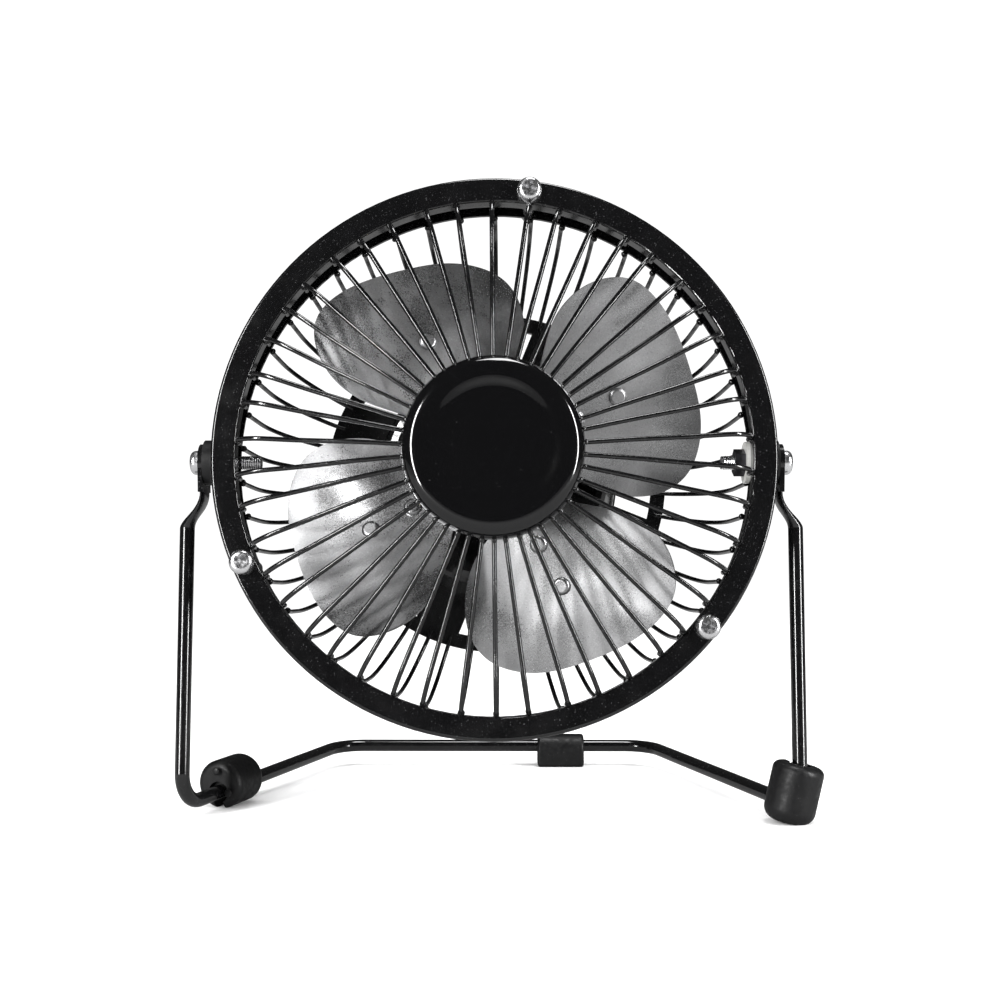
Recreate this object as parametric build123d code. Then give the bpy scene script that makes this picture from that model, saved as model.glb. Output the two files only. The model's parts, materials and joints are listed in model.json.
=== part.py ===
from build123d import *
import math
import os

# Desk fan, millimetres, +Z up, +X right, the fan blows toward -Y.
# The head is drawn upright about its pivot, laid back and lifted onto the stand.
# Everything is drawn with the pivot line over Y = 0 and moved to the base centre on saving.

# middle of the footprint, seen from the pivot line
CENTRE_X = 1.84
CENTRE_Y = 23.85

# stand
ROD_D = 3.4
ROD_Z_FRONT = 3.6
ROD_Z_REAR = 5.6
LEG_TOP_X = 70.6
LEG_FOOT_X = 70.9
FRONT_Y = -8.0
REAR_X = 44.3
REAR_Y = 68.5
CORNER_BEND = 6.4
REAR_BEND = 10.0
EAR_X = 66.0
EAR_T = 1.1
EAR_R = 4.3
JOG_END = 15.1
PIVOT_Z = 82.4
HEAD_X = 0.8
TILT = 6.5

# feet
FOOT_D = 11.8
FOOT_LEN = 12.0
FOOT_SLIT = 2.6
FOOT_LEAN = 12.0
FOOT_MOUTH_R = 2.6
LEFT_FOOT_S = 15.6
RIGHT_FOOT_TOP = 13.4
REAR_FOOT_X = 19.0
REAR_FOOT_LEN = 13.2
REAR_FOOT_D = 9.0
GRIP_R = ROD_D / 2 + 0.02

# rings
RING_R = 64.0
RING_IN_R = 58.4
SHEET = 0.8
FACE_Y = -8.5
SEAM_Y = -3.5
BACK_Y = 4.2
REAR_RING_R = RING_R + 0.25
REAR_WEB_R = 59.5
RING_NUT_D = 3.5
LIP_DEPTH = 3.6
RING_SCREW_R = 61.3
RING_SCREW_ANGLES = (82.5, 203.0, 321.2)

# fasteners
M3 = 3.0
M3_HEAD_D = 5.6
M3_HEAD_H = 2.3
M3_NUT_AF = 5.5
M3_NUT_H = 2.4
M3_HOLE = 3.3
PIVOT_HOLE = 3.14
PIVOT_BOLT_LEN = 14.0
PIVOT_FLANGE_R = 57.7

# grille
WIRE_COUNT = 46
WIRE_D = 1.1
REAR_WIRE_D = 1.05
WIRE_PHASE = 4.3
REAR_WIRE_PHASE = 180 / WIRE_COUNT
WIRE_DRIFT = 0.55
HUB_PLATE_R = 14.0
HUB_PLATE_Y = FACE_Y - 9.2 + WIRE_D / 2 - 0.02
CAP_R = 20.0
CAP_BACK_Y = -18.05
CAP_FRONT_Y = -23.6
CAP_DISH = 0.75
CAP_DISH_R = 11.6

# rear plate and motor
PLATE_Y = 29.0
PLATE_T = 1.2
PLATE_R = 43.0
WINDOW_IN_R = 30.6
WINDOW_OUT_R = 39.4
SPOKE_W = 11.5
SPOKE_ANGLE = 68.0
CUP_R = 29.6
CUP_FRONT_R = 27.4
CUP_FRONT_Y = 13.4
CUP_WALL = 1.2
CAN_R = 16.0
CAN_FRONT_Y = 14.6
CAN_BACK_Y = 28.9
SHAFT_R = 1.0
BUSH_R = 1.88
BOSS_R = 22.5
MOTOR_SCREW_X = 8.5
COVER_R = 29.0
COVER_BACK_Y = 42.5
COVER_WALL = 1.6

# rotor
BLADE_COUNT = 4
BLADE_ANGLE = 28.5
BLADE_PITCH = 20.0
BLADE_T = 0.8
BLADE_Y = 0.5
BLADE_CAMBER_R = 120.0
DISC_Y = 1.2
HUB_R = 3.4
ARM_W = 9.0
ARM_T = 1.2
ARM_END_R = 37.0
RIVETS_R = (21.5, 32.5)
SPIN_PLAY = 0.03

# switch
SWITCH_Z = 9.0
SWITCH_W = 9.0
SWITCH_H = 13.5
GLAND_Y = 34.2

BLADE_EDGE = (
    (14.0, -8.0),
    (17.5, -15.5),
    (24.0, -21.5),
    (31.0, -24.5),
    (38.5, -24.0),
    (44.5, -19.5),
    (48.3, -13.0),
    (50.3, -5.0),
    (51.3, 4.0),
    (51.0, 11.5),
    (49.5, 17.5),
    (46.5, 22.5),
    (41.0, 25.6),
    (34.0, 26.0),
    (27.0, 23.0),
    (20.0, 15.5),
    (14.5, 8.0),
)


def along_y(radius, y0, y1, x=0.0, z=0.0):
    """Round bar parallel to Y."""
    bar = Solid.make_cylinder(radius, y1 - y0)
    return Pos(x, y0, z) * Rot(-90, 0, 0) * bar


def along_x(radius, x0, x1, y=0.0, z=0.0):
    """Round bar parallel to X."""
    bar = Solid.make_cylinder(radius, x1 - x0)
    return Pos(x0, y, z) * Rot(0, 90, 0) * bar


def turned(points):
    """Solid of revolution about Y from (radius, y) points."""
    outline = Polyline(*[(r, y, 0) for r, y in points], close=True)
    return revolve(make_face(outline), Axis.Y, 360)


def spun(shape, angle):
    """Turn about the head axis, anticlockwise as seen from the front."""
    return Rot(0, -angle, 0) * shape


def on_stand(shape):
    """Carry a head part from its upright drawing to its place on the stand."""
    return Pos(HEAD_X, 0, PIVOT_Z) * Rot(-TILT, 0, 0) * shape


def pan_screw(length, head_d=M3_HEAD_D, head_h=M3_HEAD_H, shank_d=M3):
    """Cross-head pan screw, head standing forward of y = 0, shank running to +Y."""
    head = along_y(head_d / 2, -head_h, 0)
    rim = head.edges().filter_by(GeomType.CIRCLE).sort_by(Axis.Y)[0]
    head = head.fillet(head_h * 0.55, [rim])
    shank = along_y(shank_d / 2, 0, length)
    screw = head + shank
    reach = head_d * 0.28
    for turn in (0, 90):
        slot = Box(reach * 2, head_h * 0.7, head_d * 0.13)
        screw -= Pos(0, -head_h, 0) * Rot(0, turn + 20, 0) * slot
    return screw


def hex_nut(flats=M3_NUT_AF, height=M3_NUT_H, bore=M3):
    """Nut along +Y from y = 0, flats facing X, bored to the thread it rides on."""
    hexagon = RegularPolygon(flats / 2, 6, major_radius=False, rotation=30)
    return Rot(-90, 0, 0) * extrude(hexagon - Circle(bore / 2), height)


def ring_channel(outer_r, inner_r, web_y, outer_y, inner_y, edge_r):
    """Pressed channel ring: a flat web with a flange turned at each edge."""
    side = 1 if outer_y > web_y else -1
    inside_y = web_y + side * SHEET
    skin = turned(
        [
            (inner_r, web_y),
            (outer_r, web_y),
            (outer_r, outer_y),
            (outer_r - SHEET, outer_y),
            (outer_r - SHEET, inside_y),
            (inner_r + SHEET, inside_y),
            (inner_r + SHEET, inner_y),
            (inner_r, inner_y),
        ]
    )
    rims = skin.edges().filter_by(GeomType.CIRCLE)
    outer = [e for e in rims if abs(e.radius - outer_r) < 0.01 and abs(e.arc_center.Y - web_y) < 0.01]
    skin = fillet(outer, edge_r)
    rims = skin.edges().filter_by(GeomType.CIRCLE)
    inner = [e for e in rims if abs(e.radius - inner_r) < 0.01 and abs(e.arc_center.Y - web_y) < 0.01]
    return fillet(inner, 0.45)


def screw_spots():
    """Centres of the three ring screws in the upright head."""
    spots = []
    for angle in RING_SCREW_ANGLES:
        a = math.radians(angle)
        spots.append((RING_SCREW_R * math.cos(a), RING_SCREW_R * math.sin(a)))
    return spots


def front_ring():
    ring = ring_channel(RING_R, RING_IN_R, FACE_Y, SEAM_Y, FACE_Y + LIP_DEPTH, 0.75)
    for x, z in screw_spots():
        ring -= along_y(M3_HOLE / 2, FACE_Y - 1, SEAM_Y, x, z)
    return ring


def rear_ring():
    """Angle-section ring: outer wall and a back web the rear wires are welded to."""
    ring = turned(
        [
            (REAR_WEB_R, BACK_Y),
            (REAR_RING_R, BACK_Y),
            (REAR_RING_R, SEAM_Y),
            (REAR_RING_R - SHEET, SEAM_Y),
            (REAR_RING_R - SHEET, BACK_Y - SHEET),
            (REAR_WEB_R, BACK_Y - SHEET),
        ]
    )
    rims = ring.edges().filter_by(GeomType.CIRCLE)
    corner = [e for e in rims if e.radius > REAR_RING_R - 0.1 and e.arc_center.Y > BACK_Y - 0.1]
    ring = fillet(corner, 0.75)
    for x, z in screw_spots():
        ring -= along_y(M3 / 2 + 0.1, SEAM_Y, BACK_Y + 1, x, z)
    return ring - along_x(M3_HOLE / 2, -RING_R - 1, RING_R + 1)


def ring_screws():
    screw = pan_screw(16.0)
    return [Pos(x, FACE_Y, z) * screw for x, z in screw_spots()]


def ring_nuts():
    """Round threaded bushes standing on the back web."""
    nuts = []
    for x, z in screw_spots():
        bush = along_y(RING_NUT_D / 2, BACK_Y, BACK_Y + M3_NUT_H, x, z)
        nuts.append(bush - along_y(M3 / 2 + 0.02, BACK_Y, BACK_Y + M3_NUT_H, x, z))
    return nuts


def bent_wire(points, diameter, leaves, arrives):
    """Round wire through (radius, y) points in the plane x > 0."""
    path = Spline(*[(r, y, 0) for r, y in points], tangents=(leaves, arrives))
    start = Plane(origin=path @ 0, z_dir=path % 0)
    return sweep(start * Circle(diameter / 2), path=path)


def front_wires():
    """Welded inside the ring lip, over the ring edge, then a shallow dome to the hub plate."""
    edge_r = RING_IN_R - WIRE_D / 2 + 0.04
    wire = bent_wire(
        [
            (edge_r, FACE_Y + 3.0),
            (edge_r, FACE_Y + 1.0),
            (edge_r - 0.15, FACE_Y - 1.4),
            (56.2, FACE_Y - 3.5),
            (46.0, FACE_Y - 5.8),
            (32.0, FACE_Y - 7.8),
            (20.0, FACE_Y - 8.85),
            (13.0, FACE_Y - 9.16),
            (8.5, FACE_Y - 9.2),
        ],
        WIRE_D,
        (0, -1, 0),
        (-1, 0, 0),
    )
    step = 360 / WIRE_COUNT
    placed = []
    for i in range(WIRE_COUNT):
        drift = WIRE_DRIFT * math.sin(2.3 * i)
        placed.append(spun(wire, WIRE_PHASE + step * i + drift))
    return placed


def rear_wires():
    """Welded inside the rear ring, then a round-shouldered basket to the rear plate."""
    edge_r = REAR_WEB_R - REAR_WIRE_D / 2 + 0.04
    wire = bent_wire(
        [
            (edge_r, BACK_Y - SHEET + 0.35),
            (edge_r, BACK_Y + 1.2),
            (edge_r - 0.5, 9.5),
            (57.6, 15.0),
            (55.4, 20.3),
            (51.3, 24.7),
            (46.2, 27.4),
            (40.8, PLATE_Y - REAR_WIRE_D / 2 + 0.04),
        ],
        REAR_WIRE_D,
        (0, 1, 0),
        (-1, 0.12, 0),
    )
    step = 360 / WIRE_COUNT
    placed = []
    for i in range(WIRE_COUNT):
        angle = REAR_WIRE_PHASE + step * i
        drift = WIRE_DRIFT * math.sin(1.7 * i) * math.sin(math.radians(angle)) ** 2
        placed.append(spun(wire, angle + drift))
    return placed


def front_hub_plate():
    """Washer the front wires are welded to, behind the cap."""
    back = HUB_PLATE_Y
    plate = along_y(HUB_PLATE_R, back, back + 1.0)
    return plate - along_y(M3_HOLE / 2, back - 1, back + 2)


def front_cap():
    """Cap with a rolled rim round a shallow dish, hollow behind, with a boss for its screw."""
    top = CAP_FRONT_Y
    dish = top + CAP_DISH
    shoulder = (CAP_R, top + 4.2)
    slope = Bezier((CAP_DISH_R, dish), (13.6, dish), (14.0, top), (16.0, top))
    roll = Bezier((16.0, top), (18.6, top), (CAP_R, top + 1.5), shoulder)
    back = Polyline(
        shoulder,
        (CAP_R, CAP_BACK_Y),
        (CAP_R - 1.3, CAP_BACK_Y),
        (CAP_R - 1.3, top + 4.4),
        (16.5, top + 2.2),
        (3.2, top + 2.2),
        (3.2, CAP_BACK_Y - 0.3),
        (0, CAP_BACK_Y - 0.3),
        (0, dish),
        (CAP_DISH_R, dish),
    )
    shell = revolve(make_face([*slope.edges(), *roll.edges(), *back.edges()]), Axis.Y, 360)
    return shell - along_y(1.3, top + 2.6, CAP_BACK_Y + 1)


def cap_screw():
    """Short screw from behind the hub plate into the cap boss."""
    screw = pan_screw(4.6, 5.0, 1.7, 2.6)
    return Pos(0, HUB_PLATE_Y + 1.0, 0) * Rot(180, 0, 0) * screw


def pivot_bolts():
    """Screws through each ear, spacer and both ring walls."""
    seat = EAR_X + EAR_T + 0.06
    bolt = pan_screw(PIVOT_BOLT_LEN)
    right = Pos(seat - HEAD_X, 0, 0) * Rot(0, 0, 90) * bolt
    left = Pos(-seat - HEAD_X, 0, 0) * Rot(0, 0, -90) * bolt
    return [left, right]


def pivot_washers():
    """Left, a plain washer inside the ring wall; right, a flanged nylon sleeve."""
    wall = REAR_RING_R - SHEET - 0.12
    left = along_x(3.2, -wall, -wall + 0.8)
    right = along_x(3.2, PIVOT_FLANGE_R, wall)
    right += along_x(4.8, PIVOT_FLANGE_R, PIVOT_FLANGE_R + 1.0)
    bore = along_x(M3 / 2 + 0.02, -RING_R, RING_R)
    return [left - bore, right - bore]


def pivot_nuts():
    wall = REAR_RING_R - SHEET - 0.12
    left = Pos(-wall + 0.8, 0, 0) * Rot(0, 0, -90) * hex_nut()
    right = Pos(PIVOT_FLANGE_R, 0, 0) * Rot(0, 0, 90) * hex_nut()
    return [left, right]


def pivot_spacers():
    """Rubber discs between the ear and the ring, hollowed to sit on the ring."""
    spacers = []
    for side in (-1, 1):
        ear = side * (EAR_X - 0.06) - HEAD_X
        wall = side * (RING_R - 0.6)
        a, b = sorted((ear, wall))
        disc = along_x(5.2, a, b) - along_x(M3 / 2 + 0.02, a - 1, b + 1)
        spacers.append(disc - along_y(REAR_RING_R + 0.02, -20, 20))
    return spacers


def boss_spots(phase):
    """Three screw centres on the boss circle, the first at the given angle."""
    spots = []
    for i in range(3):
        a = math.radians(120 * i + phase)
        spots.append((BOSS_R * math.cos(a), BOSS_R * math.sin(a)))
    return spots


def rear_plate():
    """Sheet disc with four windows; the rear wires and the motor hang on it."""
    back = PLATE_Y + PLATE_T
    plate = along_y(PLATE_R, PLATE_Y, back)
    window = along_y(WINDOW_OUT_R, PLATE_Y - 1, back + 1)
    window -= along_y(WINDOW_IN_R, PLATE_Y - 2, back + 2)
    for turn in (0, 90):
        bar = Box(2 * PLATE_R, 20, SPOKE_W)
        window -= Pos(0, PLATE_Y, 0) * spun(bar, SPOKE_ANGLE + turn)
    panes = window.solids()
    for pane in panes:
        posts = pane.edges().filter_by(Axis.Y)
        plate -= fillet(posts, 1.6)
    plate -= along_y(5.0, PLATE_Y - 1, back + 1)
    for x, z in boss_spots(30):
        plate -= along_y(1.35, PLATE_Y - 1, back + 1, x, z)
    for x, z in boss_spots(90):
        plate -= along_y(1.0, PLATE_Y - 1, back + 1, x, z)
    return plate


def motor_cup():
    """Cup over the motor, in front of the plate, with three screw bosses."""
    cup = turned(
        [
            (3.9, CUP_FRONT_Y),
            (CUP_FRONT_R - 2.6, CUP_FRONT_Y),
            (CUP_FRONT_R - 1.0, CUP_FRONT_Y + 0.5),
            (CUP_FRONT_R, CUP_FRONT_Y + 1.8),
            (CUP_R, PLATE_Y - 1.0),
            (CUP_R + 0.6, PLATE_Y),
            (CUP_R - CUP_WALL, PLATE_Y),
            (CUP_FRONT_R - CUP_WALL, CUP_FRONT_Y + CUP_WALL + 1.4),
            (CUP_FRONT_R - CUP_WALL - 1.4, CUP_FRONT_Y + CUP_WALL),
            (3.9, CUP_FRONT_Y + CUP_WALL),
        ]
    )
    for x, z in boss_spots(30):
        cup += along_y(3.0, CUP_FRONT_Y + CUP_WALL / 2, PLATE_Y, x, z)
        cup -= along_y(1.05, PLATE_Y - 7, PLATE_Y + 1, x, z)
    for x in (-MOTOR_SCREW_X, MOTOR_SCREW_X):
        cup -= along_y(1.35, CUP_FRONT_Y - 1, CUP_FRONT_Y + 3, x)
    return cup


def motor_cup_screws():
    screw = pan_screw(6.5, 4.4, 1.6, 2.1)
    y = PLATE_Y + PLATE_T
    return [Pos(x, y, z) * Rot(180, 0, 0) * screw for x, z in boss_spots(30)]


def motor_screws():
    """Two screws through the cup's front wall into the motor's face."""
    screw = pan_screw(2.5, 4.4, 1.3, 2.4)
    return [Pos(x, CUP_FRONT_Y, 0) * screw for x in (-MOTOR_SCREW_X, MOTOR_SCREW_X)]


def motor_can():
    can = turned(
        [
            (BUSH_R, CAN_FRONT_Y),
            (CAN_R, CAN_FRONT_Y),
            (CAN_R, CAN_BACK_Y),
            (CAN_R - 0.8, CAN_BACK_Y),
            (CAN_R - 0.8, CAN_FRONT_Y + 0.8),
            (BUSH_R, CAN_FRONT_Y + 0.8),
        ]
    )
    can += along_y(3.4, 12.6, CAN_FRONT_Y + 0.4) - along_y(BUSH_R, 12, CAN_FRONT_Y + 1)
    for x in (-MOTOR_SCREW_X, MOTOR_SCREW_X):
        can -= along_y(1.2, CAN_FRONT_Y - 1, CAN_FRONT_Y + 2, x)
    return can


def motor_magnets():
    """Two curved ferrite magnets inside the can."""
    outer_r = CAN_R - 0.85
    ring = along_y(outer_r, 17.0, 25.0) - along_y(11.6, 16, 26)
    gap = Box(60, 20, 9.0)
    halves = ring - Pos(0, 21, 0) * gap
    return list(halves.solids())


def motor_end_bell():
    """Moulded end plate closing the can, carrying the rear bush."""
    bell = along_y(CAN_R - 0.85, 27.4, CAN_BACK_Y)
    return bell - along_y(BUSH_R, 26, 30)


def motor_brushes():
    """Two carbon blocks on leaf arms each side of the commutator."""
    blocks = []
    for side in (-1, 1):
        block = Pos(side * 4.35, 25.4, 0) * Box(2.0, 1.8, 2.2)
        leaf = Pos(side * 5.6, 26.35, 0) * Box(0.5, 2.1, 3.0)
        blocks.append(block + leaf)
    return blocks


def motor_bushes():
    """Sintered bushes the shaft runs in."""
    bore = SHAFT_R + SPIN_PLAY
    front = along_y(BUSH_R, 12.6, 16.0) - along_y(bore, 12, 17)
    back = along_y(BUSH_R, 27.2, CAN_BACK_Y) - along_y(bore, 26, 30)
    return [front, back]


def motor_shaft():
    return along_y(SHAFT_R, -4.8, 28.6)


def armature_core():
    """Three-pole laminated stack on the shaft."""
    core = along_y(4.0, 17.7, 22.7)
    for i in range(3):
        tooth = Pos(6.5, 20.2, 0) * Box(7.0, 5.0, 3.0)
        shoe = along_y(11.1, 17.7, 22.7) - along_y(9.6, 17, 24)
        shoe &= Pos(10, 20.2, 0) * Box(12, 8, 13.5)
        core += spun(tooth + shoe, 120 * i + 90)
    return core - along_y(SHAFT_R, 17, 25)


def armature_coils():
    """One winding round each pole."""
    coils = []
    for i in range(3):
        coil = Pos(6.9, 20.2, 0) * Box(4.0, 7.2, 6.0)
        coil = fillet(coil.edges().filter_by(Axis.X), 0.9)
        coil -= Pos(6.9, 20.2, 0) * Box(6.0, 5.1, 3.1)
        coils.append(spun(coil, 120 * i + 90))
    return coils


def commutator():
    """Three copper segments on a moulded sleeve."""
    ring = along_y(3.0, 24.4, 26.4) - along_y(2.1, 24, 27)
    for i in range(3):
        ring -= spun(Pos(3, 25.4, 0) * Box(4, 4, 0.5), 120 * i + 30)
    sleeve = along_y(2.1, 24.1, 26.9) - along_y(SHAFT_R, 24, 27)
    return [sleeve + ring]


def hub_bush():
    """Turned bush clamping the spider to the shaft."""
    bush = along_y(HUB_R, -4.0, 9.6) + along_y(7.5, DISC_Y + ARM_T, DISC_Y + ARM_T + 2)
    return bush - along_y(SHAFT_R, -5, 12)


def blade_frame(index):
    """Place something drawn flat (radial x, tangential z) at one blade."""
    angle = BLADE_ANGLE + 360 / BLADE_COUNT * index
    return Rot(0, -angle, 0) * Pos(0, BLADE_Y, 0) * Rot(BLADE_PITCH, 0, 0)


def blade_sheet():
    """One cambered blade, radial along +X, front face toward -Y."""
    outline = Spline(*[(u, v) for u, v in BLADE_EDGE], periodic=True)
    slab = extrude(Plane.XZ * make_face(outline), 14, both=True)
    tube = along_x(BLADE_CAMBER_R + BLADE_T, 0, 60) - along_x(BLADE_CAMBER_R, -1, 61)
    blade = slab & (Pos(0, -BLADE_CAMBER_R, 0) * tube)
    for u in RIVETS_R:
        blade -= along_y(1.2, -3, 3, u, 0)
    return blade


def blades():
    sheet = blade_sheet()
    return [blade_frame(i) * sheet for i in range(BLADE_COUNT)]


def spider():
    """Pressed cross the blades are riveted to."""
    cross = along_y(10.5, DISC_Y, DISC_Y + ARM_T)
    for i in range(BLADE_COUNT):
        length = ARM_END_R - 8.0
        y = BLADE_T + 0.02 + ARM_T / 2
        arm = Pos(8.0 + length / 2, y, 0) * Box(length, ARM_T, ARM_W)
        tip = arm.edges().filter_by(Axis.Y).sort_by(Axis.X)[-2:]
        arm = fillet(tip, 3.0)
        for u in RIVETS_R:
            arm -= along_y(1.2, -3, 5, u, 0)
        cross += blade_frame(i) * arm
    return cross - along_y(HUB_R, 0, 5)


def blade_rivets():
    """Two domed rivets through each blade and its arm."""
    rivets = []
    back = BLADE_T + 0.02 + ARM_T
    for i in range(BLADE_COUNT):
        for u in RIVETS_R:
            head = along_y(2.1, -1.0, -0.04)
            rim = head.edges().filter_by(GeomType.CIRCLE).sort_by(Axis.Y)[0]
            head = head.fillet(0.8, [rim])
            tail = along_y(1.9, back + 0.01, back + 0.7)
            stem = along_y(1.2, -0.2, back + 0.2)
            rivets.append(blade_frame(i) * Pos(u, 0, 0) * (head + stem + tail))
    return rivets


def rear_cover():
    """Moulded cup behind the plate: switch window, vents, bosses, cord hole."""
    front = PLATE_Y + PLATE_T
    back = COVER_BACK_Y
    shell = turned(
        [
            (COVER_R - COVER_WALL, front),
            (COVER_R, front),
            (COVER_R - 0.6, back - 4.4),
            (COVER_R - 1.9, back - 1.7),
            (COVER_R - 4.6, back - 0.3),
            (COVER_R - 7.0, back),
            (0, back),
            (0, back - COVER_WALL),
            (COVER_R - 7.2, back - COVER_WALL),
            (COVER_R - 3.3, back - 3.0),
            (COVER_R - COVER_WALL - 0.6, back - 5.2),
        ]
    )
    for x, z in boss_spots(90):
        shell += along_y(3.2, front, back - 0.8, x, z)
        shell -= along_y(1.05, front - 1, back + 1, x, z)
        shell -= along_y(2.5, back - 2.3, back + 1, x, z)
    window = Pos(0, back, SWITCH_Z) * Box(SWITCH_W + 0.1, 8, SWITCH_H + 0.1)
    shell -= window
    for row in range(4):
        width = 24 - 3 * row
        shell -= Pos(0, back, -5.5 - 3.4 * row) * Box(width, 6, 1.4)
    shell -= Pos(0, GLAND_Y, -COVER_R - 3) * Solid.make_cylinder(3.2, 8)
    return shell


def rear_cover_screws():
    """Long screws from the back of the cover into the tapped plate."""
    seat = COVER_BACK_Y - 2.3
    screw = pan_screw(seat - PLATE_Y + 1.2, 4.4, 1.6, 2.0)
    return [Pos(x, seat, z) * Rot(180, 0, 0) * screw for x, z in boss_spots(90)]


def switch_body():
    """Snap-in rocker switch housing with a bezel on the back wall."""
    back = COVER_BACK_Y
    case = Pos(0, back - 3.2, SWITCH_Z) * Box(SWITCH_W, 8.4, SWITCH_H)
    bezel = Pos(0, back + 0.5, SWITCH_Z) * Box(SWITCH_W + 2.4, 1.0, SWITCH_H + 2.4)
    case += fillet(bezel.edges().filter_by(Axis.Y), 0.8)
    well = Pos(0, back - 0.9, SWITCH_Z) * Box(SWITCH_W - 1.8, 5.4, SWITCH_H - 1.8)
    case -= well
    pin = along_x(0.75, -SWITCH_W / 2 + 0.3, SWITCH_W / 2 - 0.3, back - 1.0, SWITCH_Z)
    return case + pin


def switch_rocker():
    """Rocking key on the switch's pin."""
    back = COVER_BACK_Y
    half = (SWITCH_H - 3.6) / 2
    key = Polyline(
        (back - 2.4, -half * 0.62),
        (back + 0.9, -half),
        (back + 2.3, -half),
        (back + 1.1, 0),
        (back + 2.3, half),
        (back + 0.9, half),
        (back - 2.4, half * 0.62),
        close=True,
    )
    width = SWITCH_W - 2.8
    body = extrude(Plane.YZ * make_face(key), width / 2, both=True)
    body = Pos(0, 0, SWITCH_Z) * body
    body -= along_x(0.8, -6, 6, back - 1.0, SWITCH_Z)
    turn = Pos(0, back - 1.0, SWITCH_Z) * Rot(-9, 0, 0) * Pos(0, 1.0 - back, -SWITCH_Z)
    return turn * body


def switch_terminals():
    """Two solder tags standing off the front of the switch case."""
    y = COVER_BACK_Y - 9.0
    return [Pos(0, y, SWITCH_Z + dz) * Box(2.6, 3.2, 0.6) for dz in (-3.4, 3.4)]


def motor_leads():
    """Two insulated leads from the motor's end plate to the switch tags."""
    leads = []
    for dz in (-3.4, 3.4):
        path = Spline(
            (0.6 * dz, CAN_BACK_Y, -2.6),
            (0.5 * dz, CAN_BACK_Y + 1.6, -2.0),
            (2.8, 32.0, 0.5 * SWITCH_Z),
            (1.9, 31.7, SWITCH_Z + dz - 1.2),
            tangents=((0, 1, 0), (-0.6, 0.2, 1)),
        )
        start = Plane(origin=path @ 0, z_dir=path % 0)
        leads.append(sweep(start * Circle(0.45), path=path))
    return leads


def cable_gland():
    """Rubber grommet in the underside of the cover, its bore left open."""
    outer = Pos(0, 0, -COVER_R - 1.5) * Solid.make_cylinder(3.9, 3.0)
    outer -= along_y(COVER_R + 0.02, -8, 8)
    neck = Pos(0, 0, -COVER_R - 0.5) * Solid.make_cylinder(3.15, 3.4)
    inner = Pos(0, 0, -COVER_R + 1.8) * Solid.make_cylinder(3.8, 2.1)
    inner &= along_y(COVER_R - COVER_WALL - 1.1, -8, 8)
    gland = outer + neck + inner
    gland -= Pos(0, 0, -COVER_R - 3) * Solid.make_cylinder(1.75, 10)
    return Pos(0, GLAND_Y, 0) * gland


def rod_path():
    """Centreline of the round part: leg, floor run, crossbar, floor run, leg."""
    return FilletPolyline(
        (-LEG_TOP_X, 0, PIVOT_Z - JOG_END),
        (-LEG_FOOT_X, FRONT_Y, ROD_Z_FRONT),
        (-REAR_X, REAR_Y, ROD_Z_REAR),
        (REAR_X, REAR_Y, ROD_Z_REAR),
        (LEG_FOOT_X, FRONT_Y, ROD_Z_FRONT),
        (LEG_TOP_X, 0, PIVOT_Z - JOG_END),
        radius=(CORNER_BEND, REAR_BEND, REAR_BEND, CORNER_BEND),
    )


def rod_solid(radius):
    """The bent rod below the ears."""
    path = rod_path()
    start = Plane(origin=path @ 0, z_dir=path % 0)
    return sweep(start * Circle(radius), path=path)


def rod_ear():
    """Flattened, drilled end of the right leg, drawn down into the round rod."""
    x = EAR_X + EAR_T / 2
    blank = Circle(EAR_R) + Pos(0, -3.4) * Rectangle(2 * EAR_R - 0.4, 6.8)
    plate = Pos(x, 0, PIVOT_Z) * extrude(Plane.YZ * blank, EAR_T / 2, both=True)
    plate -= along_x(PIVOT_HOLE / 2, x - 3, x + 3, 0, PIVOT_Z)
    neck = (
        (x, 5.6, EAR_T - 0.04, 8.0),
        (x + 0.05, 8.2, 1.6, 7.4),
        (x + 2.1, 11.8, 2.6, 5.2),
        (LEG_TOP_X - 0.2, 14.3, 3.3, 3.6),
    )
    rings = []
    for px, drop, thick, wide in neck:
        rings.append(Pos(px, 0, PIVOT_Z - drop) * Ellipse(thick / 2, wide / 2))
    path = rod_path()
    end = Plane(origin=path @ 1, x_dir=(1, 0, 0), z_dir=-(path % 1))
    rings.append(end * Circle(ROD_D / 2))
    return plate + loft(rings)


def stand_rod():
    """One bent steel rod with a flattened ear at each end."""
    ear = rod_ear()
    return rod_solid(ROD_D / 2) + ear + mirror(ear, about=Plane.YZ)


def floor_frame(side, along):
    """Plane across a floor run of the rod, its Z along the run toward the back."""
    corner = Vector(side * LEG_FOOT_X, FRONT_Y, ROD_Z_FRONT)
    rear = Vector(side * REAR_X, REAR_Y, ROD_Z_REAR)
    run = (rear - corner).normalized()
    return Plane(origin=corner + run * along, x_dir=Vector(0, 0, 1).cross(run), z_dir=run)


def desk():
    """The desk top, used to flatten rubber where it rests."""
    return Pos(0, 0, -5) * Box(400, 400, 10)


def left_foot():
    """Slit rubber bushing pushed along the left floor run, slit down."""
    frame = floor_frame(-1, LEFT_FOOT_S)
    lift = FOOT_D / 2 - frame.origin.Z - 0.2
    body = Pos(0, lift, 0) * Solid.make_cylinder(FOOT_D / 2, FOOT_LEN)
    rims = body.edges().filter_by(GeomType.CIRCLE)
    body = body.fillet(1.8, rims)
    slit = Pos(0, -6, FOOT_LEN / 2) * Box(FOOT_SLIT, 12, FOOT_LEN + 2)
    mouths = Solid.make_cylinder(FOOT_MOUTH_R, 1.6)
    mouths += Pos(0, 0, FOOT_LEN - 1.6) * Solid.make_cylinder(FOOT_MOUTH_R, 1.6)
    foot = frame.location * (body - slit - mouths)
    return foot - rod_solid(GRIP_R) - desk()


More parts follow.
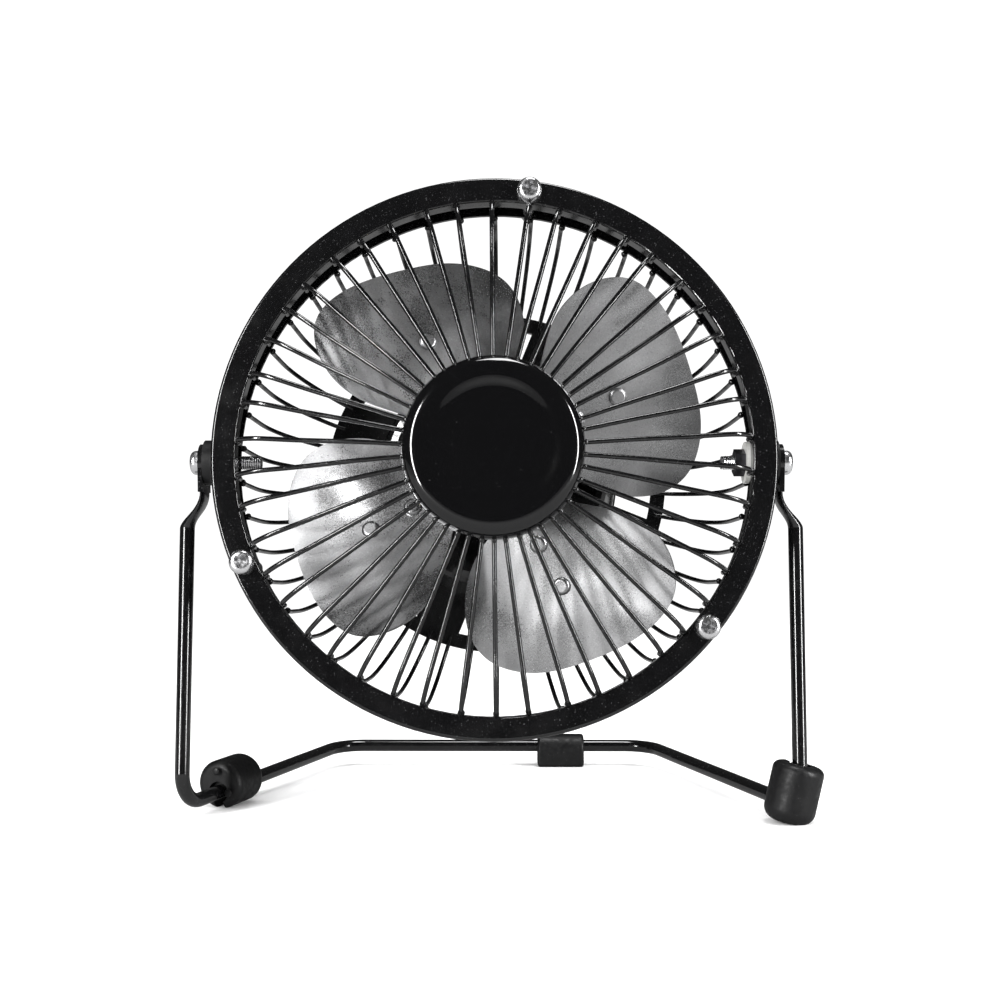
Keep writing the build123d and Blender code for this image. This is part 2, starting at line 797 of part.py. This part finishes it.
def right_foot():
    """The same bushing pushed over the right corner, standing on its end."""
    lean = Pos(LEG_TOP_X + 0.2, FRONT_Y + 0.9, RIGHT_FOOT_TOP) * Rot(0, FOOT_LEAN, 0)
    length = RIGHT_FOOT_TOP + 0.2
    body = Pos(0, 0, -length) * Solid.make_cylinder(FOOT_D / 2, length)
    ends = body.edges().filter_by(GeomType.CIRCLE).sort_by(Axis.Z)
    body = body.fillet(3.2, [ends[0]])
    ends = body.edges().filter_by(GeomType.CIRCLE).sort_by(Axis.Z)
    body = body.fillet(1.8, [ends[-1]])
    slit = Rot(0, 0, 20) * Pos(0, 6, -FOOT_LEN / 2 + 3) * Box(FOOT_SLIT, 12, FOOT_LEN)
    mouth = Pos(0, 0, -1.6) * Solid.make_cylinder(FOOT_MOUTH_R, 1.6)
    return lean * (body - slit - mouth) - rod_solid(GRIP_R) - desk()


def rear_foot():
    """Flat-bottomed rubber block on the crossbar, off to the right."""
    r = REAR_FOOT_D / 2
    base = Pos(0, r / 2 - r) * Rectangle(REAR_FOOT_D, r)
    section = Circle(r) + base
    corners = section.vertices().filter_by_position(Axis.Y, -r - 0.01, -r + 0.01)
    section = fillet(corners, 1.1)
    block = Plane.YZ * section
    block = Pos(REAR_FOOT_X, REAR_Y, r) * extrude(block, REAR_FOOT_LEN / 2, both=True)
    ends = block.faces().filter_by(Axis.X).edges()
    block = fillet(ends, 0.8)
    slit = Pos(REAR_FOOT_X, REAR_Y + 4, ROD_Z_REAR) * Box(20, 8, 1.2)
    return block - slit - rod_solid(GRIP_R)


HEAD_PARTS = {
    "front_ring": front_ring,
    "rear_ring": rear_ring,
    "ring_screws": ring_screws,
    "ring_nuts": ring_nuts,
    "front_grille_wires": front_wires,
    "rear_grille_wires": rear_wires,
    "front_hub_plate": front_hub_plate,
    "front_cap": front_cap,
    "cap_screw": cap_screw,
    "pivot_bolts": pivot_bolts,
    "pivot_washers": pivot_washers,
    "pivot_nuts": pivot_nuts,
    "pivot_spacers": pivot_spacers,
    "rear_plate": rear_plate,
    "motor_cup": motor_cup,
    "motor_cup_screws": motor_cup_screws,
    "motor_screws": motor_screws,
    "motor_can": motor_can,
    "motor_magnets": motor_magnets,
    "motor_end_bell": motor_end_bell,
    "motor_brushes": motor_brushes,
    "motor_bushes": motor_bushes,
    "rear_cover": rear_cover,
    "rear_cover_screws": rear_cover_screws,
    "switch_body": switch_body,
    "switch_terminals": switch_terminals,
    "motor_leads": motor_leads,
    "cable_gland": cable_gland,
    "switch_rocker": switch_rocker,
    "motor_shaft": motor_shaft,
    "armature_core": armature_core,
    "armature_coils": armature_coils,
    "commutator": commutator,
    "hub_bush": hub_bush,
    "blade_spider": spider,
    "blade_rivets": blade_rivets,
}

STAND_PARTS = {
    "stand_rod": stand_rod,
    "left_foot": left_foot,
    "right_foot": right_foot,
    "rear_foot": rear_foot,
}


def save(name, pieces):
    """Write one node, moved so that the base centre is the origin."""
    placed = [Pos(-CENTRE_X, -CENTRE_Y, 0) * piece for piece in pieces]
    shape = placed[0] if len(placed) == 1 else Compound(children=placed)
    export_step(shape, f"parts/{name}.step")


def as_list(shape):
    return list(shape) if isinstance(shape, (list, tuple)) else [shape]


os.makedirs("parts", exist_ok=True)

for part_name, draw in HEAD_PARTS.items():
    save(part_name, [on_stand(piece) for piece in as_list(draw())])

for number, blade in enumerate(blades(), start=1):
    save(f"blade_{number}", [on_stand(blade)])

for part_name, draw in STAND_PARTS.items():
    save(part_name, as_list(draw()))
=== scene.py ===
"""Looks of the desk fan: finishes for the CAD's nodes, six small pieces, and the photograph's studio."""

import json
import math
import random

import bmesh
import bpy
from mathutils import Matrix, Vector


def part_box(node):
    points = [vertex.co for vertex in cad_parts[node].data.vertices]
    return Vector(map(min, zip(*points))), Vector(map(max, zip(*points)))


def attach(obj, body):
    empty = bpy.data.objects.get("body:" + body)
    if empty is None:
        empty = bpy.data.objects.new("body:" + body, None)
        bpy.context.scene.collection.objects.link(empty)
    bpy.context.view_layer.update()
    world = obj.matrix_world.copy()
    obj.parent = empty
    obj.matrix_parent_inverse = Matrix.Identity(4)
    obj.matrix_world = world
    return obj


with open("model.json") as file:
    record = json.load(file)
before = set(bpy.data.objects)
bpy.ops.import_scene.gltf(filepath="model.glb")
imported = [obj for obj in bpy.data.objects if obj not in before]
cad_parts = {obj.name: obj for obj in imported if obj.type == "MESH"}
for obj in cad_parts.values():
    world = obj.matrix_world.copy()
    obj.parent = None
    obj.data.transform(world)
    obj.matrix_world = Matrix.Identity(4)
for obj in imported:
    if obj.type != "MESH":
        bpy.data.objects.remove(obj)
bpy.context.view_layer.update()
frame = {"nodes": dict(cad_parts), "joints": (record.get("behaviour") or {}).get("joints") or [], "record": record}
NODES = frame["nodes"]
JOINTS = {j["name"]: j for j in frame["joints"]}

MM = 0.001

# the head's own frame: origin where the pivot line meets the ring's axis, -Y out of the front,
# leaning back by TILT at rest, as in the CAD
TILT = math.radians(6.5)
PIVOT = Vector(JOINTS["head_tilt"]["pos_m"])
HEAD = Matrix.Translation(PIVOT) @ Matrix.Rotation(-TILT, 4, "X")

# the grille wires of the CAD: how many, and in degrees the first front one, the first rear one
# and how far the front ones wander. The CAD's rear ones wander too, which their beads don't follow.
WIRE_COUNT = 46
WIRE_PHASE = 4.3
REAR_WIRE_PHASE = 180 / WIRE_COUNT
WIRE_DRIFT = 0.55
DRIFT_RATE = 2.3

# weld beads, in mm: how far one strays in or out, how its size varies, how rough its skin is
BEAD_STRAY = 0.1
BEAD_SIZES = (0.88, 1.12)
BEAD_ROUGH = 0.04

# the thread of the pivot screws, in mm; its roots lie just under the CAD's plain shank
THREAD_PITCH = 0.5
THREAD_ROOT_R = 1.49
THREAD_CREST_R = 1.6
THREAD_CREST_FLAT = 1.3
THREAD_STEPS = 40
THREAD_ROWS_PER_TURN = 10

# dots on the feet, in mm and degrees; MOUTH_DOTS are across and up, MOUTH_FACES is a direction
DOT_R = 0.95
DOT_RISE = 0.3
DOT_CIRCLE_R = 3.9
DOT_TURNS = (-100, -30, 215)
MOUTH_DOTS = ((0.3, 9.2), (3.6, 4.2))
MOUTH_FACES = (-0.328, -0.944, 0)
FOOT_LEAN = math.radians(12)

FLOOR_HALF = 40.0
PAPER_STRENGTH = 1.1
ROOM_STRENGTH = 0.055
FLOOR_IN_REFLECTIONS = 0.30

# the colour sockets of a Mix node share their names with others, so they are taken by number
MIX_A, MIX_B, MIX_RESULT = 6, 7, 2


# ---- materials -------------------------------------------------------------


def grey(level, blue=None):
    return (level, level, level if blue is None else blue)


class Nodes:
    """A material's node tree, with short ways to add and join nodes."""

    def __init__(self, name, colour, metallic, roughness):
        self.material = bpy.data.materials.new(name)
        self.material.use_nodes = True
        self.tree = self.material.node_tree
        self.shader = self.tree.nodes["Principled BSDF"]
        self.set("Base Color", (*colour, 1))
        self.set("Metallic", metallic)
        self.set("Roughness", roughness)
        self.colour = None
        self.coords = self.tree.nodes.new("ShaderNodeTexCoord").outputs["Object"]

    def set(self, socket, value):
        self.shader.inputs[socket].default_value = value

    def link(self, a, b):
        self.tree.links.new(a, b)

    def noise(self, scale, detail=3.0, rough=0.55, stretch=None):
        node = self.tree.nodes.new("ShaderNodeTexNoise")
        node.inputs["Scale"].default_value = scale
        node.inputs["Detail"].default_value = detail
        node.inputs["Roughness"].default_value = rough
        self.link(self.stretched(stretch), node.inputs["Vector"])
        return node.outputs["Fac"]

    def stretched(self, stretch):
        if stretch is None:
            return self.coords
        node = self.tree.nodes.new("ShaderNodeMapping")
        node.inputs["Scale"].default_value = stretch
        self.link(self.coords, node.inputs["Vector"])
        return node.outputs["Vector"]

    def ramp(self, value, low, high, to_low=0.0, to_high=1.0):
        """Smooth step of value from low..high to to_low..to_high."""
        node = self.tree.nodes.new("ShaderNodeMapRange")
        node.interpolation_type = "SMOOTHSTEP"
        for socket, number in zip(node.inputs[1:5], (low, high, to_low, to_high)):
            socket.default_value = number
        self.link(value, node.inputs["Value"])
        return node.outputs["Result"]

    def add(self, a, b):
        node = self.tree.nodes.new("ShaderNodeMath")
        node.operation = "ADD"
        self.link(a, node.inputs[0])
        self.link(b, node.inputs[1])
        return node.outputs["Value"]

    def paint(self, fac, colour):
        """Lays a colour over what is there so far, where fac is 1."""
        node = self.tree.nodes.new("ShaderNodeMix")
        node.data_type = "RGBA"
        self.link(fac, node.inputs["Factor"])
        if self.colour is None:
            node.inputs[MIX_A].default_value = self.shader.inputs["Base Color"].default_value
        else:
            self.link(self.colour, node.inputs[MIX_A])
        node.inputs[MIX_B].default_value = (*colour, 1)
        self.colour = node.outputs[MIX_RESULT]
        self.link(self.colour, self.shader.inputs["Base Color"])

    def rough(self, value):
        self.link(value, self.shader.inputs["Roughness"])

    def bump(self, value, distance):
        """Adds relief, distance in metres, on top of any bump that is there already."""
        node = self.tree.nodes.new("ShaderNodeBump")
        node.inputs["Distance"].default_value = distance
        node.inputs["Strength"].default_value = 1.0
        self.link(value, node.inputs["Height"])
        previous = self.shader.inputs["Normal"].links
        if previous:
            self.link(previous[0].from_socket, node.inputs["Normal"])
        self.link(node.outputs["Normal"], self.shader.inputs["Normal"])


def enamel(name):
    """Gloss black paint: softer patches, specks of dust, and a faint orange peel."""
    dust = 0.655
    m = Nodes(name, grey(0.0016, 0.0018), 0.0, 0.2)
    m.set("IOR", 1.52)
    m.set("Coat Weight", 0.3)
    m.set("Coat Roughness", 0.06)
    m.paint(m.ramp(m.noise(220, 4), 0.4, 0.75, 0, 0.5), grey(0.003, 0.0033))
    specks = m.ramp(m.noise(2600, 1), dust, dust + 0.1, 0, 0.5)
    m.paint(specks, grey(0.05, 0.052))
    patches = m.ramp(m.noise(160, 3), 0.35, 0.7, 0.12, 0.22)
    m.rough(m.add(patches, m.ramp(specks, 0, 1, 0, 0.25)))
    m.bump(m.noise(450, 2), 0.00002)
    return m.material


def gloss_plastic(name, colour, smooth=0.06):
    """Polished moulding; smooth is its least roughness."""
    m = Nodes(name, colour, 0.0, smooth)
    m.set("IOR", 1.54)
    m.paint(m.ramp(m.noise(1900, 2), 0.7, 0.8, 0, 0.4), grey(0.05))
    m.rough(m.ramp(m.noise(120, 4), 0.35, 0.75, smooth, smooth + 0.06))
    m.bump(m.noise(260, 2), 0.00002)
    return m.material


def grained_plastic(name, colour, roughness, patch):
    """Matt moulding with a fine grain and patches of a second colour."""
    grain = 1500
    m = Nodes(name, colour, 0.0, roughness)
    m.paint(m.ramp(m.noise(90, 4), 0.35, 0.75, 0, 0.6), patch)
    m.rough(m.ramp(m.noise(grain, 3), 0.35, 0.7, roughness - 0.08, roughness + 0.1))
    m.bump(m.noise(grain, 3, 0.6), 0.00003)
    return m.material


def metal(name, colour, roughness, dark, grain=1200, stretch=None):
    """Plated or raw metal with darker patches; stretch draws its grain out along an axis."""
    m = Nodes(name, colour, 1.0, roughness)
    m.paint(m.ramp(m.noise(140, 4), 0.38, 0.75, 0, 0.55), dark)
    m.rough(m.ramp(m.noise(grain, 3, 0.6, stretch), 0.35, 0.7, roughness - 0.06, roughness + 0.12))
    m.bump(m.noise(grain, 2, 0.6, stretch), 0.000012)
    return m.material


def blade_metal(name):
    """Thin plated sheet: fine grain, faint spangle, and soft waves in what it reflects."""
    m = Nodes(name, grey(0.42, 0.425), 1.0, 0.34)
    m.paint(m.ramp(m.noise(45, 3, 0.6), 0.36, 0.68, 0, 0.7), grey(0.30, 0.305))
    m.paint(m.ramp(m.noise(3200, 2), 0.5, 0.75, 0, 0.5), grey(0.62, 0.63))
    m.paint(m.ramp(m.noise(2600, 3, 0.65), 0.52, 0.72, 0, 0.45), grey(0.14, 0.143))
    grain = m.noise(3000, 3, 0.65)
    patches = m.ramp(m.noise(60, 3), 0.35, 0.7, 0.2, 0.34)
    m.rough(m.add(patches, m.ramp(grain, 0.3, 0.75, 0, 0.12)))
    m.bump(m.noise(48, 1, 0.4), 0.0016)
    m.bump(grain, 0.000006)
    return m.material


def rubber(name):
    """Dull black rubber with pale dust in its grain."""
    m = Nodes(name, grey(0.0035, 0.0038), 0.0, 0.5)
    m.set("Specular IOR Level", 0.3)
    m.paint(m.ramp(m.noise(110, 4), 0.4, 0.75, 0, 0.7), grey(0.008, 0.0085))
    m.paint(m.ramp(m.noise(1700, 2), 0.66, 0.76, 0, 0.6), grey(0.035))
    m.rough(m.ramp(m.noise(700, 3), 0.35, 0.7, 0.38, 0.58))
    m.bump(m.noise(900, 3, 0.6), 0.00004)
    return m.material


FINISHES = {
    "gloss_black_steel": enamel("enamel_black"),
    "black_cap": gloss_plastic("cap_gloss", grey(0.0014, 0.0016)),
    "black_moulding": grained_plastic("moulding_black", grey(0.022, 0.024), 0.42, grey(0.04, 0.042)),
    "rocker_key": gloss_plastic("key_semi_gloss", grey(0.014, 0.015), 0.22),
    "blade_aluminium": blade_metal("blade_sheet"),
    "bright_screws": metal("screw_chrome", grey(0.86, 0.87), 0.24, grey(0.60, 0.62)),
    "zinc_steel": metal("steel_zinc", grey(0.56, 0.57), 0.3, (0.40, 0.39, 0.38)),
    "dark_nuts": metal("nut_black_zinc", grey(0.10, 0.11), 0.35, grey(0.05)),
    "foot_rubber": rubber("rubber_black"),
    "nylon": grained_plastic("nylon_natural", grey(0.55, 0.53), 0.35, grey(0.66, 0.64)),
    "motor_steel": metal("motor_plate", grey(0.60), 0.28, grey(0.47, 0.46), 600, (1, 12, 1)),
    "ferrite": grained_plastic("ferrite_ground", grey(0.06), 0.6, grey(0.10)),
    "laminations": metal("laminations_raw", grey(0.35, 0.36), 0.4, (0.2, 0.17, 0.15), 900, (1, 25, 1)),
    "copper": metal("copper_enamelled", (0.72, 0.38, 0.20), 0.25, (0.5, 0.22, 0.10), 1500),
    "carbon": grained_plastic("carbon_pressed", grey(0.03), 0.55, grey(0.06)),
    "end_moulding": grained_plastic("moulding_natural", (0.70, 0.69, 0.65), 0.4, (0.60, 0.59, 0.55)),
    "bronze": metal("bronze_sintered", (0.62, 0.45, 0.25), 0.42, (0.4, 0.27, 0.13), 2200),
    "brass_tags": metal("brass_plate", (0.75, 0.62, 0.35), 0.25, (0.55, 0.42, 0.22)),
    "lead_sleeve": grained_plastic("sleeve_red", (0.32, 0.02, 0.02), 0.4, (0.42, 0.05, 0.04)),
}

for part in frame["record"]["subparts"]:
    mesh = NODES[part["node"]].data
    mesh.materials.clear()
    mesh.materials.append(FINISHES[part["material_slot"]])


# ---- small pieces ----------------------------------------------------------


def on_ring(radius, y, degrees):
    """Point in the head's frame, angle turned from +X towards +Z."""
    a = math.radians(degrees)
    return Vector((radius * math.cos(a), y, radius * math.sin(a))) * MM


def as_piece(mesh_data, name, body, slot):
    """Turns a bmesh, in world metres, into a smooth-shaded piece that rides on a body."""
    mesh = bpy.data.meshes.new(name)
    mesh_data.to_mesh(mesh)
    mesh_data.free()
    for face in mesh.polygons:
        face.use_smooth = True
    piece = bpy.data.objects.new(name, mesh)
    bpy.context.scene.collection.objects.link(piece)
    mesh.materials.append(FINISHES[slot])
    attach(piece, body)


def bead_row(name, radius, y, phase, size, seed, drift=0.0):
    """One weld bead for every wire, each a little different; size is half its width out, along Y and around."""
    chance = random.Random(seed)
    beads = bmesh.new()
    for i in range(WIRE_COUNT):
        angle = phase + 360 / WIRE_COUNT * i + drift * math.sin(DRIFT_RATE * i)
        stray = chance.uniform(-BEAD_STRAY, BEAD_STRAY)
        place = Matrix.Translation(on_ring(radius + stray, y, angle))
        turn = Matrix.Rotation(-math.radians(angle), 4, "Y")
        grow = Matrix.Diagonal([s * MM * chance.uniform(*BEAD_SIZES) for s in size] + [1])
        matrix = HEAD @ place @ turn @ grow
        made = bmesh.ops.create_icosphere(beads, subdivisions=2, radius=1.0, matrix=matrix)
        for v in made["verts"]:
            v.co += v.normal * chance.uniform(-BEAD_ROUGH, BEAD_ROUGH) * MM
    as_piece(beads, name, "head", "gloss_black_steel")


def thread(name, x0, x1):
    """A rolled thread from x0 to x1 along the pivot line, standing a little proud of the shank."""
    rows = int((x1 - x0) / THREAD_PITCH * THREAD_ROWS_PER_TURN)
    skin = bmesh.new()
    rings = []
    for i in range(rows + 1):
        x = x0 + (x1 - x0) * i / rows
        ring = []
        for k in range(THREAD_STEPS):
            a = 2 * math.pi * k / THREAD_STEPS
            wave = abs((x / THREAD_PITCH + k / THREAD_STEPS) % 1.0 - 0.5) * 2
            height = (THREAD_CREST_R - THREAD_ROOT_R) * min(1.0, wave * THREAD_CREST_FLAT)
            r = THREAD_ROOT_R + height
            ring.append(skin.verts.new(HEAD @ (Vector((x, r * math.cos(a), r * math.sin(a))) * MM)))
        rings.append(ring)
    for a, b in zip(rings, rings[1:]):
        for k in range(THREAD_STEPS):
            n = (k + 1) % THREAD_STEPS
            skin.faces.new((a[k], a[n], b[n], b[k]))
    bmesh.ops.recalc_face_normals(skin, faces=skin.faces)
    as_piece(skin, name, "head", "bright_screws")


def left_foot_dots():
    """Places and facings of the two dots beside the left foot's mouth."""
    low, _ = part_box("left_foot")
    face = Vector((low.x + 4.5 * MM, low.y + 0.5 * MM, 0))
    out = Vector(MOUTH_FACES).normalized()
    across = Vector((-out.y, out.x, 0))
    return [
        (face + across * side * MM + Vector((0, 0, height * MM)), out)
        for side, height in MOUTH_DOTS
    ]


def right_foot_dots():
    """Places and facings of the three dots on the leaning top of the right foot."""
    low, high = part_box("right_foot")
    lean = Vector((math.sin(FOOT_LEAN), 0, math.cos(FOOT_LEAN)))
    top = Vector((high.x - 6.4 * MM, low.y + 5.9 * MM, high.z - 1.25 * MM))
    spots = []
    for turn in DOT_TURNS:
        a = math.radians(turn)
        side = Vector((math.cos(a), math.sin(a), 0)) * DOT_CIRCLE_R * MM
        spots.append((top + side - lean * side.dot(lean), lean))
    return spots


def foot_marks():
    """Low moulded dots on the two front feet, as one piece."""
    dots = bmesh.new()
    flat = Matrix.Diagonal((DOT_R * MM, DOT_R * MM, DOT_RISE * MM, 1))
    for place, normal in left_foot_dots() + right_foot_dots():
        turn = normal.to_track_quat("Z", "Y").to_matrix().to_4x4()
        matrix = Matrix.Translation(place) @ turn @ flat
        bmesh.ops.create_icosphere(dots, subdivisions=3, radius=1.0, matrix=matrix)
    as_piece(dots, "foot_marks", "stand", "foot_rubber")


bead_row("weld_beads_front", 57.9, -8.0, WIRE_PHASE, (0.78, 1.15, 0.8), 3, WIRE_DRIFT)
bead_row("weld_beads_cap", 19.9, -17.75, WIRE_PHASE, (0.9, 0.5, 0.66), 5, WIRE_DRIFT)
bead_row("weld_beads_rear", 59.0, 3.9, REAR_WIRE_PHASE, (0.72, 0.9, 0.8), 7)
thread("pivot_thread_left", -58.4, -54.0)
thread("pivot_thread_right", 53.0, 55.2)
foot_marks()


# ---- studio: places in metres, power in watts, lens in mm -------------------


def floor_plane():
    """White paper to the camera, dim in what the fan's gloss reflects."""
    plane = bmesh.new()
    bmesh.ops.create_grid(plane, x_segments=1, y_segments=1, size=FLOOR_HALF)
    mesh = bpy.data.meshes.new("floor")
    plane.to_mesh(mesh)
    plane.free()
    floor = bpy.data.objects.new("floor", mesh)
    bpy.context.scene.collection.objects.link(floor)
    pale = Nodes("floor_pale", grey(0.95), 0.0, 0.8)
    pale.set("Specular IOR Level", 0.0)
    mirrored = pale.tree.nodes.new("ShaderNodeLightPath").outputs["Is Glossy Ray"]
    pale.paint(mirrored, grey(FLOOR_IN_REFLECTIONS))
    mesh.materials.append(pale.material)


def soft_box(name, place, aim, width, height, power):
    light = bpy.data.lights.new(name, "AREA")
    light.shape = "RECTANGLE"
    light.size = width
    light.size_y = height
    light.energy = power
    lamp = bpy.data.objects.new(name, light)
    bpy.context.scene.collection.objects.link(lamp)
    lamp.location = place
    lamp.rotation_euler = (Vector(aim) - Vector(place)).to_track_quat("-Z", "Y").to_euler()


def white_background(node, strength):
    node.inputs["Color"].default_value = (1, 1, 1, 1)
    node.inputs["Strength"].default_value = strength
    return node.outputs["Background"]


def paper_world():
    """White to the camera and to diffuse rays, a dim room in reflections.

    It isn't sampled as a light, because that would mix the white into the reflections."""
    world = bpy.data.worlds.new("studio_world")
    world.use_nodes = True
    world.cycles.sampling_method = "NONE"
    tree = world.node_tree
    paper = white_background(tree.nodes["Background"], PAPER_STRENGTH)
    room = white_background(tree.nodes.new("ShaderNodeBackground"), ROOM_STRENGTH)
    mirrored = tree.nodes.new("ShaderNodeLightPath").outputs["Is Glossy Ray"]
    mix = tree.nodes.new("ShaderNodeMixShader")
    tree.links.new(mirrored, mix.inputs["Fac"])
    tree.links.new(paper, mix.inputs[1])
    tree.links.new(room, mix.inputs[2])
    tree.links.new(mix.outputs["Shader"], tree.nodes["World Output"].inputs["Surface"])
    bpy.context.scene.world = world


def photo_camera():
    """Lens and place fitted to the photograph."""
    lens = bpy.data.cameras.new("camera")
    lens.lens = 46.4
    lens.sensor_width = 36.0
    lens.shift_y = 0.1205
    lens.clip_start = 0.01
    camera = bpy.data.objects.new("camera", lens)
    bpy.context.scene.collection.objects.link(camera)
    camera.location = (0.00236, -0.32385, 0.0642)
    camera.rotation_euler = (math.radians(86.5), 0.0, math.radians(0.4))
    bpy.context.scene.camera = camera


floor_plane()
soft_box("left_box", (-0.42, -0.50, 0.24), (0, 0, 0.07), 0.07, 0.46, 5.0)
soft_box("right_box", (0.55, -0.34, 0.26), (0, 0, 0.07), 0.07, 0.50, 5.0)
soft_box("top_box", (0.05, -0.05, 0.80), (0, 0, 0.05), 0.30, 0.20, 3.0)
paper_world()
photo_camera()
bpy.context.scene.view_settings.view_transform = "Standard"
